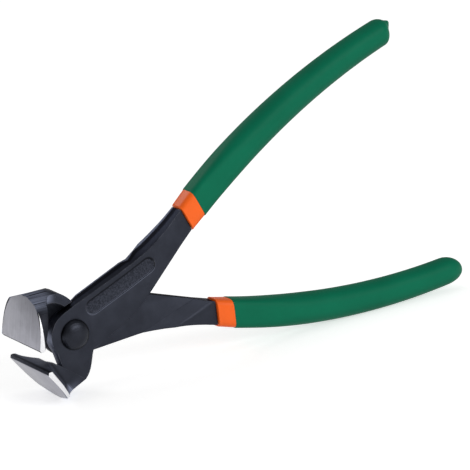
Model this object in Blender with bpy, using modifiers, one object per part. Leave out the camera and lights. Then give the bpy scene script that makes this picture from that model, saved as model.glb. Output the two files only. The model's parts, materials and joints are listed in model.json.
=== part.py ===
"""End cutting nippers, 200 mm class: two crossed forged levers, one rivet, dipped grips with a cuff.

Each lever is drawn in its own closed frame: the rivet's axis is the origin's Y axis, the cutting edge
lies on -X, the handle runs to +X, and the jaw hangs below the closing plane Z = 0. The rear lever is
the same forging turned half round about X. Both then open about the rivet and stand on a flat surface.
Lengths are in metres, angles in degrees.
"""
import math

import bmesh
import bpy
import numpy as np
from mathutils import Matrix, Vector

# Cutting head
EDGE_REACH = 0.0209          # rivet's axis to the cutting edge
BLADE_WIDTH = 0.0323         # length of the cutting edge
BEVEL_LENGTH = 0.0190        # height of the ground front
BEVEL_ANGLE = 78.8           # ground front against the tool's axis
LIP_RUN = 0.0010             # small bevel between the cutting edge and the ground front
LIP_HEIGHT = 0.0010
LAND_DEPTH = 0.0010          # narrow inner land behind the edge
LAND_SLOPE = 16.0            # fall of the land, away from the closing plane
THROAT_SLOPE = 26.0          # fall of the throat behind it
CROWN_POWER = 2.7            # above 2 makes the blade's outline squarer than an ellipse
CROWN_HEIGHT = 0.0196        # closing plane to the top of that outline
RIDGE_HEIGHT = 0.0194        # closing plane to the low ridge that trims the outline
RIDGE_FALL = 16.5            # fall of the outline to each side of the ridge
SIDE_FLAT = 0.0022           # thickness of the blade's end at the cutting edge
PLATE_SIDE_GROWTH = 0.10     # how far its back leans, on the side of the lever's own plate
HOLLOW_SIDE_GROWTH = 0.28    # and on the side of the other lever's plate
SIDE_LEAN = 0.0004           # run of the forged rim behind it
SIDE_DROP = 0.0006           # its drop towards the middle
SIDE_SWEEP = 0.0050          # run of the hollow from that rim to the plate
HEAD_HEIGHT = 0.0192         # closing plane to the head's back
CREST_BACK = 0.0108          # edge to the highest place of the back
NAPE_BACK = 0.0180           # edge to the place where the back falls away
NAPE_DROP = 0.0026           # the back's drop there
NAPE_SLOPE = 34.0
ROOF = 0.0045                # thickness of the back over the hollow for the other plate
WALL_BACK = 0.0064           # cutting edge to that hollow, at the closing plane
WALL_LEAN = 0.0018           # how far its wall leans back
HEAD_INSET = 0.00005         # keeps the head's back just inside the plate's

# Joint
PLATE_GAP = 0.0003           # running gap between the two plates
JOINT_THICKNESS = 0.0100     # both plates with their gap
DISC_RADIUS = 0.0100         # round end of each plate about the rivet
THROAT_DEPTH = 0.0109        # rivet's axis to the throat's inner corner, along X
THROAT_HALF_HEIGHT = 0.0076  # closing plane to that corner
SHOULDER_GAP = 0.00035       # gap between a plate's edge and the other lever's shoulder
RAMP_RUN = 0.0030            # width of the sloped shoulder
OPEN_ANGLE = 12.4            # each lever's turn from closed, as the tool stands
SPREAD_ANGLE = 10.0          # further opening of the rear lever past that

# Rivet
SHANK_RADIUS = 0.0035
BORE_CLEARANCE = 0.00008
DOME_RADIUS = 0.0060
DOME_HEIGHT = 0.0028
TAIL_RADIUS = 0.0054
TAIL_HEIGHT = 0.0014
SEAT_GAP = 0.0002            # rivet heads to the plates

# Handle metal
PLATE_LEVEL_LENGTH = 0.0160  # stretch of the plate's lower edge that runs level
WAIST_X = 0.0400             # narrowest place of the handle root
WAIST_Z = 0.0080             # outer edge there
HANDLE_HALF_WIDTH = 0.0046   # metal at the cuff
HANDLE_HALF_THICKNESS = 0.0035
CROSSING_X = 0.0360          # where the inner edge turns from the plate to the handle
CROSSING_Z = -0.0064
TAPER_START = 0.0280         # thickness falls from here to the cuff
NECK_SETBACK = 0.0004        # visible metal ends this far short of the cuff
NECK_HALF_WIDTH = 0.0038     # metal inside the cuff's open end
NECK_HALF_THICKNESS = 0.0028
TANG_HALF_WIDTH = 0.0036     # metal inside the grip
TANG_HALF_THICKNESS = 0.0027
TANG_END_HALF_WIDTH = 0.0027
TANG_END_HALF_THICKNESS = 0.0022
TANG_END_MARGIN = 0.0140     # metal stops this far short of the grip's tip
EDGE_BREAK = 0.0007          # chamfer round the forging's rim

# Maker's panel, left bare
PANEL_START = 0.0121
PANEL_END = 0.0398
PANEL_START_RADIUS = 0.0031
PANEL_END_RADIUS = 0.0031
PANEL_START_Z = 0.0044
PANEL_END_Z = 0.0030
PANEL_DEPTH = 0.0005

# Grips
HANDLE_REACH = 0.1786        # rivet's axis to the grip's tip, along X
BOW_RADIUS = 0.2800          # the handle's bow
CREST_X = 0.1400             # highest place of the bow
CREST_Z = 0.0181
CUFF_START = 0.0633
CUFF_LENGTH = 0.0070
MOUTH_HALF_WIDTH = 0.0055    # the cuff's open end, which hugs the flat metal
MOUTH_HALF_THICKNESS = 0.0046
COLLAR_HALF_WIDTH = 0.0059   # where the cuff meets the grip
COLLAR_HALF_THICKNESS = 0.0050
GRIP_RADIUS = 0.0065         # in the hand
GRIP_TIP_RADIUS = 0.0054
GRIP_TIP_LENGTH = 0.0060     # length of the rounded end
GRIP_THICKNESS_RATIO = 0.95  # thickness over width in the hand
SWELL_END = 0.1040           # the grip has its full girth from here
MOUTH_POWER = 4.2            # 2 is an ellipse, more is nearer to a rectangle
GRIP_POWER = 2.3
FIT_GAP = 0.0003             # between the metal and what covers it
GRIP_STATIONS = 22
ARC_STEPS = 8
RING_POINTS = 32

CLOSED_TRAVEL = 2 * OPEN_ANGLE
WIDEST_TRAVEL = CLOSED_TRAVEL + SPREAD_ANGLE

BLACK_OXIDE = ((0.032, 0.036, 0.045), 0.45, 0.9)
RIVET_BLACK = ((0.026, 0.029, 0.036), 0.35, 0.9)
GREEN_VINYL = ((0.006, 0.155, 0.078), 0.42, 0.0)
ORANGE_VINYL = ((1.0, 0.145, 0.010), 0.40, 0.0)


# Plane geometry

def turned(point, degrees):
    """Turn a point (x, z) from +X towards +Z."""
    a = math.radians(degrees)
    x, z = point
    return (x * math.cos(a) - z * math.sin(a), x * math.sin(a) + z * math.cos(a))


def arc(centre, radius, start, end, steps=ARC_STEPS):
    """Points on a circle from one angle to another, in degrees."""
    points = []
    for i in range(steps + 1):
        a = math.radians(start + (end - start) * i / steps)
        points.append((centre[0] + radius * math.cos(a), centre[1] + radius * math.sin(a)))
    return points


def flowing_edge(start, start_angle, end, end_angle, steps=ARC_STEPS):
    """A Hermite stretch that leaves start and meets end in the two given directions."""
    reach = math.dist(start, end)
    leave = (reach * math.cos(math.radians(start_angle)), reach * math.sin(math.radians(start_angle)))
    meet = (reach * math.cos(math.radians(end_angle)), reach * math.sin(math.radians(end_angle)))
    points = []
    for i in range(steps + 1):
        t = i / steps
        weights = (2 * t**3 - 3 * t**2 + 1, t**3 - 2 * t**2 + t, -2 * t**3 + 3 * t**2, t**3 - t**2)
        points.append(tuple(
            weights[0] * start[k] + weights[1] * leave[k] + weights[2] * end[k] + weights[3] * meet[k]
            for k in (0, 1)))
    return points


def bow_angle(x):
    """Turn along the handle's bow at a distance x from the rivet, in radians."""
    return math.asin((x - CREST_X) / BOW_RADIUS)


def bow_point(x, offset=0.0):
    """A point on the handle's centre line, moved outward by offset."""
    a = bow_angle(x)
    radius = BOW_RADIUS + offset
    return (CREST_X + radius * math.sin(a), CREST_Z - BOW_RADIUS + radius * math.cos(a))


def bow_slope(x):
    """Direction of the centre line in degrees."""
    return -math.degrees(bow_angle(x))


def level_point(x, offset):
    """The point that far out from the centre line, but on the upright plane through x."""
    return bow_point(x - math.tan(bow_angle(x)) * offset, offset)


def spread(first, last, count):
    return [first + (last - first) * i / (count - 1) for i in range(count)]


# Outlines of a lever in its closed frame

def inner_edge():
    """Lower and inner edge of the plate and handle, from the jaw's back to the cuff."""
    crossing = (CROSSING_X, CROSSING_Z)
    level_end = (PLATE_LEVEL_LENGTH, -DISC_RADIUS)
    slope = bow_slope(CUFF_START)
    end = level_point(CUFF_START - NECK_SETBACK, -HANDLE_HALF_WIDTH)
    run = math.degrees(math.atan2(end[1] - crossing[1], end[0] - crossing[0]))
    points = flowing_edge(level_end, 0.0, crossing, run)
    points += flowing_edge(crossing, run, end, slope, 4)[1:]
    return points


def outer_edge():
    """Outer edge of the plate and handle, from the disc's top to the cuff."""
    start = (0.0, DISC_RADIUS)
    waist = (WAIST_X, WAIST_Z)
    end = level_point(CUFF_START - NECK_SETBACK, HANDLE_HALF_WIDTH)
    points = flowing_edge(start, 0.0, waist, 0.0)
    points += flowing_edge(waist, 0.0, end, bow_slope(CUFF_START))[1:]
    return points


def tang_half_width(x, cuff_end, tang_end):
    """Half width of the metal inside the cuff and the grip."""
    if x <= cuff_end:
        share = max(0.0, (x - CUFF_START) / (cuff_end - CUFF_START))
        return NECK_HALF_WIDTH + (TANG_HALF_WIDTH - NECK_HALF_WIDTH) * share
    share = (x - cuff_end) / (tang_end - cuff_end)
    return TANG_HALF_WIDTH + (TANG_END_HALF_WIDTH - TANG_HALF_WIDTH) * share


def tang_outline(start, margin):
    """The hidden metal seen from the side, from an upright end at start to the tang's end."""
    cuff_end = CUFF_START + CUFF_LENGTH
    tang_end = HANDLE_REACH - TANG_END_MARGIN
    stations = spread(CUFF_START, cuff_end, 3)[1:] + spread(cuff_end, tang_end, 10)[1:]
    sides = []
    for side in (-1, 1):
        points = [level_point(start, side * (NECK_HALF_WIDTH + margin))]
        for x in stations:
            end_shift = margin if x == stations[-1] else 0.0
            points.append(bow_point(x + end_shift, side * (tang_half_width(x, cuff_end, tang_end) + margin)))
        sides.append(points)
    return sides[0] + list(reversed(sides[1]))


def lever_outline():
    """Plate with the middle of the head and the visible handle, drawn round once."""
    crown_edge = JOINT_THICKNESS / 2 * math.tan(math.radians(RIDGE_FALL)) - RIDGE_HEIGHT + 2 * HEAD_INSET
    points = [(-THROAT_DEPTH, -THROAT_HALF_HEIGHT)]
    points += [(x, max(z, crown_edge)) for x, z in head_back()[7:]]
    points += inner_edge()
    points += list(reversed(outer_edge()))
    points += arc((0.0, 0.0), DISC_RADIUS, 90.0, 190.0)[1:]
    return points


def head_toe():
    """Lower end of the ground front."""
    lean = math.radians(BEVEL_ANGLE)
    return (-EDGE_REACH + BEVEL_LENGTH * math.cos(lean), -BEVEL_LENGTH * math.sin(lean))


def head_back():
    """Back of the head from the ground front to the plate's lower edge."""
    crest = (-EDGE_REACH + CREST_BACK, -HEAD_HEIGHT)
    nape = (-EDGE_REACH + NAPE_BACK, -HEAD_HEIGHT + NAPE_DROP)
    foot = (DISC_RADIUS / 3, -DISC_RADIUS - HEAD_INSET)
    points = flowing_edge(head_toe(), -14.0, crest, 0.0, 4)
    points += flowing_edge(crest, 0.0, nape, NAPE_SLOPE, 5)[1:]
    points += flowing_edge(nape, NAPE_SLOPE, foot, 42.0, 5)[1:]
    return points


def head_outline():
    """Side view of the head: edge, lip, ground front, back, neck, throat and land."""
    fall = math.radians(LAND_SLOPE)
    edge = (-EDGE_REACH + LIP_RUN, 0.0)
    lip_end = (-EDGE_REACH + LIP_HEIGHT / math.tan(math.radians(BEVEL_ANGLE)), -LIP_HEIGHT)
    land_end = (edge[0] + LAND_DEPTH * math.cos(fall), -LAND_DEPTH * math.sin(fall))
    corner = (-THROAT_DEPTH, -THROAT_HALF_HEIGHT)
    back = head_back()
    points = [edge, lip_end, back[0]]
    points += [(x, z + HEAD_INSET) for x, z in back[1:]]
    points += [(-DISC_RADIUS * 0.2, -DISC_RADIUS * 0.6), (-DISC_RADIUS * 0.9, -DISC_RADIUS * 0.4), corner]
    points += flowing_edge(corner, 112.0, land_end, 180.0 - THROAT_SLOPE, 5)[1:]
    return points


def head_plan():
    """Half of the head seen from above: ground end, leaning side, and the sweep down to the plate."""
    half = BLADE_WIDTH / 2
    flat_end = -EDGE_REACH + SIDE_FLAT
    lean_end = (flat_end + SIDE_LEAN, half - SIDE_DROP)
    neck = JOINT_THICKNESS / 2 - HEAD_INSET
    sweep_end = lean_end[0] + SIDE_SWEEP
    points = [(-2 * EDGE_REACH, half), (flat_end, half)]
    for i in range(ARC_STEPS + 1):
        t = math.pi / 2 * (1 - i / ARC_STEPS)
        points.append((sweep_end + (lean_end[0] - sweep_end) * math.sin(t),
                       lean_end[1] - (lean_end[1] - neck) * math.cos(t)))
    points.append((2 * DISC_RADIUS, neck))
    return points


def blade_crown():
    """Half of the head seen from the front: half width against depth below the closing plane."""
    points = [(BLADE_WIDTH / 2, DISC_RADIUS)]
    for i in range(15):
        t = math.pi / 2 * i / 14
        across = BLADE_WIDTH / 2 * math.cos(t) ** (2 / CROWN_POWER)
        ridge = RIDGE_HEIGHT - across * math.tan(math.radians(RIDGE_FALL))
        points.append((across, -min(ridge, CROWN_HEIGHT * math.sin(t) ** (2 / CROWN_POWER))))
    return points


def recess_outline():
    """Everything that the other lever's plate sweeps, from closed to widest, with its gap."""
    shoulder = [(x, -z + SHOULDER_GAP) for x, z in inner_edge()]
    far = CUFF_START + CUFF_LENGTH
    clear = DISC_RADIUS + SHOULDER_GAP
    widest = []
    for x, z in outer_edge():
        widest.append(turned((x, -z - SHOULDER_GAP), -WIDEST_TRAVEL))
    wall = -EDGE_REACH + WALL_BACK
    roof = -HEAD_HEIGHT + ROOF
    nape = (-EDGE_REACH + NAPE_BACK, roof + NAPE_DROP)
    foot = wall + WALL_LEAN
    points = [(0.0, clear), (0.0, 2 * DISC_RADIUS), (wall, 2 * DISC_RADIUS), (wall, 0.0)]
    points += flowing_edge((foot, roof + ROOF / 2), -80.0, (foot + ROOF / 2, roof), 0.0, 3)
    points += flowing_edge((foot + ROOF, roof), 0.0, nape, NAPE_SLOPE, 3)
    points += widest[2:]
    points += [(far, widest[-1][1]), (far, -DISC_RADIUS / 2), shoulder[-1]]
    points += list(reversed(shoulder))[1:]
    return points


# Solids from outlines

def lean_with_height(mesh):
    """Shear each side of an upright solid so that it moves towards +X as it goes down."""
    for vert in mesh.vertices:
        growth = PLATE_SIDE_GROWTH if vert.co.y < 0 else HOLLOW_SIDE_GROWTH
        vert.co.x -= growth * vert.co.z


def new_object(name, mesh, collection):
    obj = bpy.data.objects.new(name, mesh)
    collection.objects.link(obj)
    return obj


def outline_solid(name, outline, near, far, collection, plane="XZ"):
    """A flat outline extruded between two distances along the axis that its plane leaves out."""
    curve = bpy.data.curves.new(name, "CURVE")
    curve.dimensions = "2D"
    curve.fill_mode = "BOTH"
    curve.extrude = (far - near) / 2
    spline = curve.splines.new("POLY")
    spline.points.add(len(outline) - 1)
    for point, (u, v) in zip(spline.points, outline):
        point.co = (u, v, 0.0, 1.0)
    spline.use_cyclic_u = True
    drawn = new_object(name + "_drawn", curve, collection)
    bpy.context.view_layer.update()
    evaluated = drawn.evaluated_get(bpy.context.evaluated_depsgraph_get())
    mesh = bpy.data.meshes.new_from_object(evaluated)
    bpy.data.objects.remove(drawn)
    middle = (near + far) / 2
    places = {
        "XZ": Matrix(((1, 0, 0, 0), (0, 0, -1, middle), (0, 1, 0, 0), (0, 0, 0, 1))),
        "XY": Matrix(((1, 0, 0, 0), (0, 1, 0, 0), (0, 0, 1, middle), (0, 0, 0, 1))),
        "YZ": Matrix(((0, 0, 1, middle), (1, 0, 0, 0), (0, 1, 0, 0), (0, 0, 0, 1))),
    }
    mesh.transform(places[plane])
    tidy(mesh)
    mesh.name = name
    return new_object(name, mesh, collection)


def tidy(mesh):
    """Weld the caps, merge flat triangles into whole faces and point the faces outward."""
    shape = bmesh.new()
    shape.from_mesh(mesh)
    bmesh.ops.remove_doubles(shape, verts=shape.verts, dist=0.000001)
    bmesh.ops.dissolve_limit(shape, angle_limit=math.radians(0.5), verts=shape.verts, edges=shape.edges)
    bmesh.ops.recalc_face_normals(shape, faces=shape.faces)
    shape.to_mesh(mesh)
    shape.free()


def mirrored_outline(half):
    """A closed outline from a half that runs beside the first axis."""
    return half + [(u, -v) for u, v in reversed(half)]


def set_thickness(mesh, stations):
    """Cut the flat solid across at each station and set its half thickness there."""
    shape = bmesh.new()
    shape.from_mesh(mesh)
    for x, _ in stations:
        geometry = shape.verts[:] + shape.edges[:] + shape.faces[:]
        bmesh.ops.bisect_plane(shape, geom=geometry, dist=0.0000001, plane_co=(x, 0, 0), plane_no=(1, 0, 0))
    places = [x for x, _ in stations]
    halves = [half for _, half in stations]
    for vert in shape.verts:
        half = float(np.interp(vert.co.x, places, halves))
        vert.co.y = math.copysign(half, vert.co.y)
    shape.to_mesh(mesh)
    shape.free()


def break_rim(mesh):
    """Chamfer the rim of the plate and handle, but not where the head joins."""
    shape = bmesh.new()
    shape.from_mesh(mesh)
    rim = []
    for edge in shape.edges:
        ends = [vert.co for vert in edge.verts]
        same_side = ends[0].y * ends[1].y > 0
        turned_edge = len(edge.link_faces) == 2 and edge.calc_face_angle(0.0) > math.radians(50)
        beside_head = max(end.x for end in ends) < DISC_RADIUS / 2 and min(end.z for end in ends) < -DISC_RADIUS / 2
        if same_side and turned_edge and not beside_head:
            rim.append(edge)
    bmesh.ops.bevel(shape, geom=rim, offset=EDGE_BREAK, segments=1, affect="EDGES", clamp_overlap=True)
    shape.to_mesh(mesh)
    shape.free()


def boolean(obj, cutter, operation):
    """Apply the cutter to the object in its own frame, with the exact solver."""
    modifier = obj.modifiers.new(cutter.name, "BOOLEAN")
    modifier.operation = operation
    modifier.object = cutter
    modifier.solver = "EXACT"
    return modifier


def settle(obj):
    """Make the modified shape the object's own mesh, so that later cuts start from it."""
    bpy.context.view_layer.update()
    evaluated = obj.evaluated_get(bpy.context.evaluated_depsgraph_get())
    mesh = bpy.data.meshes.new_from_object(evaluated)
    obj.modifiers.clear()
    obj.data = mesh


def as_cutter(obj):
    obj.display_type = "WIRE"
    obj.hide_render = True
    return obj


def cylinder_cutter(name, radius, length, collection):
    """A round cutter along Y through the rivet's axis."""
    shape = bmesh.new()
    bmesh.ops.create_cone(shape, cap_ends=True, segments=48, radius1=radius, radius2=radius, depth=length)
    mesh = bpy.data.meshes.new(name)
    shape.to_mesh(mesh)
    shape.free()
    mesh.transform(Matrix.Rotation(math.pi / 2, 4, "X"))
    return as_cutter(new_object(name, mesh, collection))


def ramp_cutter(collection):
    """A box whose lower face is the sloped shoulder, rising from the plate's inner face."""
    edge = [(x, -z + SHOULDER_GAP) for x, z in inner_edge()]
    start = Vector((edge[ARC_STEPS][0], 0.0, edge[ARC_STEPS][1]))
    end = Vector((edge[-1][0], 0.0, edge[-1][1]))
    along = (end - start).normalized()
    across = Vector((-along.z, 0.0, along.x))
    rise = HANDLE_HALF_THICKNESS + PLATE_GAP / 2
    slope = (across * RAMP_RUN + Vector((0.0, rise, 0.0))).normalized()
    normal = slope.cross(along) * -1.0
    if normal.y < 0:
        normal.negate()
    before = CUFF_START
    after = CUFF_LENGTH / 2
    length = (end - start).length + before + after
    depth = 4 * RAMP_RUN
    shape = bmesh.new()
    bmesh.ops.create_cube(shape, size=1.0)
    mesh = bpy.data.meshes.new("ramp_cutter")
    shape.to_mesh(mesh)
    shape.free()
    middle = start + along * (length / 2 - before) + slope * (depth / 2) + normal * (depth / 2)
    middle += Vector((0.0, -PLATE_GAP / 2, 0.0))
    frame = Matrix((along * length, slope * depth, normal * depth)).transposed().to_4x4()
    mesh.transform(Matrix.Translation(middle) @ frame)
    tidy(mesh)
    return as_cutter(new_object("ramp_cutter", mesh, collection))


def panel_outline():
    """A long panel with round ends on the front of the handle root."""
    start = (PANEL_START, PANEL_START_Z)
    end = (PANEL_END, PANEL_END_Z)
    lean = math.degrees(math.atan2(end[1] - start[1], end[0] - start[0]))
    return (arc(start, PANEL_START_RADIUS, lean + 90, lean + 270)
            + arc(end, PANEL_END_RADIUS, lean - 90, lean + 90))


def tang_solid(name, start, margin, collection):
    """The metal that the cuff and grip cover, larger by the margin."""
    tang_end = HANDLE_REACH - TANG_END_MARGIN
    solid = outline_solid(name, tang_outline(start, margin), -JOINT_THICKNESS / 2, JOINT_THICKNESS / 2, collection)
    set_thickness(solid.data, [
        (CUFF_START, NECK_HALF_THICKNESS + margin),
        (CUFF_START + CUFF_LENGTH, TANG_HALF_THICKNESS + margin),
        (tang_end, TANG_END_HALF_THICKNESS + margin),
    ])
    return solid


def lever_mesh(name, collection, cutters):
    """One lever of the joint as a settled mesh in its closed frame."""
    lever = outline_solid(name, lever_outline(), -JOINT_THICKNESS / 2, JOINT_THICKNESS / 2, collection)
    set_thickness(lever.data, [
        (TAPER_START, JOINT_THICKNESS / 2), (CUFF_START - NECK_SETBACK, HANDLE_HALF_THICKNESS)])
    break_rim(lever.data)
    tang = tang_solid("tang", CUFF_START - 4 * NECK_SETBACK, 0.0, cutters)
    boolean(lever, tang, "UNION")
    settle(lever)
    half = BLADE_WIDTH / 2
    head = outline_solid("head", head_outline(), -half, half, cutters)
    plan = outline_solid("head_plan", mirrored_outline(head_plan()), -2 * HEAD_HEIGHT, HEAD_HEIGHT, cutters, "XY")
    lean_with_height(plan.data)
    crown_half = blade_crown()
    crown = outline_solid(
        "blade_crown", crown_half + [(-u, v) for u, v in reversed(crown_half[:-1])],
        -2 * EDGE_REACH, 2 * DISC_RADIUS, cutters, "YZ")
    boolean(head, plan, "INTERSECT")
    settle(head)
    boolean(head, crown, "INTERSECT")
    settle(head)
    boolean(lever, head, "UNION")
    settle(lever)
    recess = as_cutter(outline_solid("plate_recess", recess_outline(), -PLATE_GAP / 2, BLADE_WIDTH, cutters))
    boolean(lever, recess, "DIFFERENCE")
    settle(lever)
    boolean(lever, ramp_cutter(cutters), "DIFFERENCE")
    settle(lever)
    bore = cylinder_cutter("rivet_bore", SHANK_RADIUS + BORE_CLEARANCE, 2 * BLADE_WIDTH, cutters)
    boolean(lever, bore, "DIFFERENCE")
    settle(lever)
    for helper in (head, plan, crown, tang):
        bpy.data.objects.remove(helper)
    return lever


def add_panel(lever, cutters):
    """Sink the bare panel into the front face, with a floor that follows the taper."""
    front = -JOINT_THICKNESS / 2
    panel = as_cutter(outline_solid("panel", panel_outline(), 2 * front, front + PANEL_DEPTH, cutters))
    shape = bmesh.new()
    shape.from_mesh(panel.data)
    geometry = shape.verts[:] + shape.edges[:] + shape.faces[:]
    bmesh.ops.bisect_plane(shape, geom=geometry, dist=0.0000001, plane_co=(TAPER_START, 0, 0), plane_no=(1, 0, 0))
    for vert in shape.verts:
        if vert.co.y > 1.5 * front:
            places = [TAPER_START, CUFF_START - NECK_SETBACK]
            vert.co.y = PANEL_DEPTH - float(np.interp(vert.co.x, places, [-front, HANDLE_HALF_THICKNESS]))
    shape.to_mesh(panel.data)
    shape.free()
    boolean(lever, panel, "DIFFERENCE")
    settle(lever)


def rivet(collection):
    """Shank with a domed front head and a low peened tail, turned about Y."""
    front = -JOINT_THICKNESS / 2 - SEAT_GAP
    back = JOINT_THICKNESS / 2 + SEAT_GAP
    profile = [(0.0, front - DOME_HEIGHT)]
    for i in range(1, ARC_STEPS + 1):
        t = math.pi / 2 * i / ARC_STEPS
        profile.append((DOME_RADIUS * math.sin(t), front - DOME_HEIGHT * math.cos(t)))
    profile += [(SHANK_RADIUS, front), (SHANK_RADIUS, back), (TAIL_RADIUS, back)]
    for i in range(1, 5):
        t = math.pi / 2 * i / 4
        profile.append((TAIL_RADIUS * math.cos(t), back + TAIL_HEIGHT * math.sin(t)))
    profile[-1] = (0.0, back + TAIL_HEIGHT)
    mesh = bpy.data.meshes.new("pivot_rivet")
    mesh.from_pydata([(r, 0.0, -y) for r, y in profile], [(i, i + 1) for i in range(len(profile) - 1)], [])
    obj = new_object("pivot_rivet", mesh, collection)
    turn = obj.modifiers.new("turned", "SCREW")
    turn.axis = "Z"
    turn.steps = 40
    turn.render_steps = 40
    turn.use_merge_vertices = True
    turn.merge_threshold = 0.00001
    settle(obj)
    obj.data.transform(Matrix.Rotation(math.pi / 2, 4, "X"))
    tidy(obj.data)
    return obj


def sleeve(name, rings, collection):
    """A closed sleeve along the handle's bow from rings of (x, half width, half thickness, power, slant).

    A slant of 1 lays the ring upright in the closed tool, as the dip left it; 0 keeps it square to the handle.
    """
    shape = bmesh.new()
    loops = []
    for x, half_width, half_thickness, power, slant in rings:
        loop = []
        for i in range(RING_POINTS):
            t = 2 * math.pi * (i + 0.5) / RING_POINTS
            out = half_width * math.copysign(abs(math.cos(t)) ** (2 / power), math.cos(t))
            across = half_thickness * math.copysign(abs(math.sin(t)) ** (2 / power), math.sin(t))
            u, v = bow_point(x - slant * math.tan(bow_angle(x)) * out, out)
            loop.append(shape.verts.new((u, across, v)))
        loops.append(loop)
    for first, second in zip(loops, loops[1:]):
        for i in range(RING_POINTS):
            j = (i + 1) % RING_POINTS
            shape.faces.new((first[i], first[j], second[j], second[i]))
    shape.faces.new(loops[0])
    shape.faces.new(loops[-1])
    bmesh.ops.recalc_face_normals(shape, faces=shape.faces)
    mesh = bpy.data.meshes.new(name)
    shape.to_mesh(mesh)
    shape.free()
    return new_object(name, mesh, collection)


def tang_cutter(name, collection):
    """The bore that the hidden metal fills, with its gap."""
    return as_cutter(tang_solid(name, CUFF_START - CUFF_LENGTH, FIT_GAP, collection))


def between(first, second, share):
    return first + (second - first) * share


def cuff_mesh(name, collection, cutters):
    """Short coloured sleeve with a softly rounded rim at its open end."""
    end = CUFF_START + CUFF_LENGTH - FIT_GAP
    round_off = CUFF_LENGTH / 14
    rings = []
    for share, inset in ((0.0, 0.6), (0.3 * round_off / CUFF_LENGTH, 0.25), (round_off / CUFF_LENGTH, 0.0),
                         (0.5, 0.0), (1.0 - 0.6 * round_off / CUFF_LENGTH, 0.0), (1.0, 0.4)):
        rings.append((between(CUFF_START, end, share),
                      between(MOUTH_HALF_WIDTH, COLLAR_HALF_WIDTH, share) - inset * round_off,
                      between(MOUTH_HALF_THICKNESS, COLLAR_HALF_THICKNESS, share) - inset * round_off,
                      MOUTH_POWER, 1.0))
    cuff = sleeve(name, rings, collection)
    boolean(cuff, tang_cutter(name + "_bore", cutters), "DIFFERENCE")
    settle(cuff)
    return cuff


def grip_ring(x, size=1.0):
    """The grip's section at x: it swells out of the cuff and turns rounder."""
    start = CUFF_START + CUFF_LENGTH
    share = min(1.0, (x - start) / (SWELL_END - start))
    share = share * share * (3 - 2 * share)
    taper = max(0.0, (x - SWELL_END) / (HANDLE_REACH - SWELL_END))
    radius = between(GRIP_RADIUS, GRIP_TIP_RADIUS, taper)
    half_width = between(COLLAR_HALF_WIDTH, radius, share)
    half_thickness = between(COLLAR_HALF_THICKNESS, radius * GRIP_THICKNESS_RATIO, share)
    return (x, half_width * size, half_thickness * size, between(MOUTH_POWER, GRIP_POWER, share), 1.0 - share)


def grip_mesh(name, collection, cutters):
    """Long dipped sleeve with a closed round tip."""
    start = CUFF_START + CUFF_LENGTH
    tip_start = HANDLE_REACH - GRIP_TIP_LENGTH
    round_off = GRIP_RADIUS / 20
    rings = [grip_ring(start, 1.0 - round_off / GRIP_RADIUS), grip_ring(start + round_off)]
    rings += [grip_ring(x) for x in spread(start, tip_start, GRIP_STATIONS)[1:]]
    for i in range(1, 7):
        t = math.pi / 2 * i / 6.4
        rings.append(grip_ring(tip_start + GRIP_TIP_LENGTH * math.sin(t), math.cos(t)))
    last = grip_ring(HANDLE_REACH, 0.10)
    rings.append(last)
    grip = sleeve(name, rings, collection)
    boolean(grip, tang_cutter(name + "_bore", cutters), "DIFFERENCE")
    settle(grip)
    return grip


# Assembly

def material(name, look):
    colour, roughness, metallic = look
    mat = bpy.data.materials.new(name)
    mat.use_nodes = True
    shader = mat.node_tree.nodes["Principled BSDF"]
    shader.inputs["Base Color"].default_value = (*colour, 1.0)
    shader.inputs["Roughness"].default_value = roughness
    shader.inputs["Metallic"].default_value = metallic
    return mat


def give(obj, mat):
    obj.data.materials.clear()
    obj.data.materials.append(mat)
    obj.data.shade_smooth()
    obj.data.set_sharp_from_angle(angle=math.radians(28))


def empty(name, collection, parent=None):
    obj = bpy.data.objects.new(name, None)
    collection.objects.link(obj)
    obj.parent = parent
    return obj


def world_points(objects):
    """Every corner of the objects as they stand, in metres."""
    bpy.context.view_layer.update()
    graph = bpy.context.evaluated_depsgraph_get()
    points = []
    for obj in objects:
        evaluated = obj.evaluated_get(graph)
        points += [obj.matrix_world @ vert.co for vert in evaluated.data.vertices]
    return np.array(points)


def stand(base, jaw, grip, everything):
    """Tilt the tool until its jaw and its lower grip touch one level, then centre it over the origin."""
    low, high = 0.0, 40.0
    for _ in range(40):
        tilt = (low + high) / 2
        base.rotation_euler = (0.0, -math.radians(tilt), 0.0)
        if world_points([jaw])[:, 2].min() < world_points([grip])[:, 2].min():
            high = tilt
        else:
            low = tilt
    points = world_points(everything)
    lowest = points.min(axis=0)
    highest = points.max(axis=0)
    base.location = (-(lowest[0] + highest[0]) / 2, -(lowest[1] + highest[1]) / 2, -lowest[2])
    bpy.context.view_layer.update()
    return tilt


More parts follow.
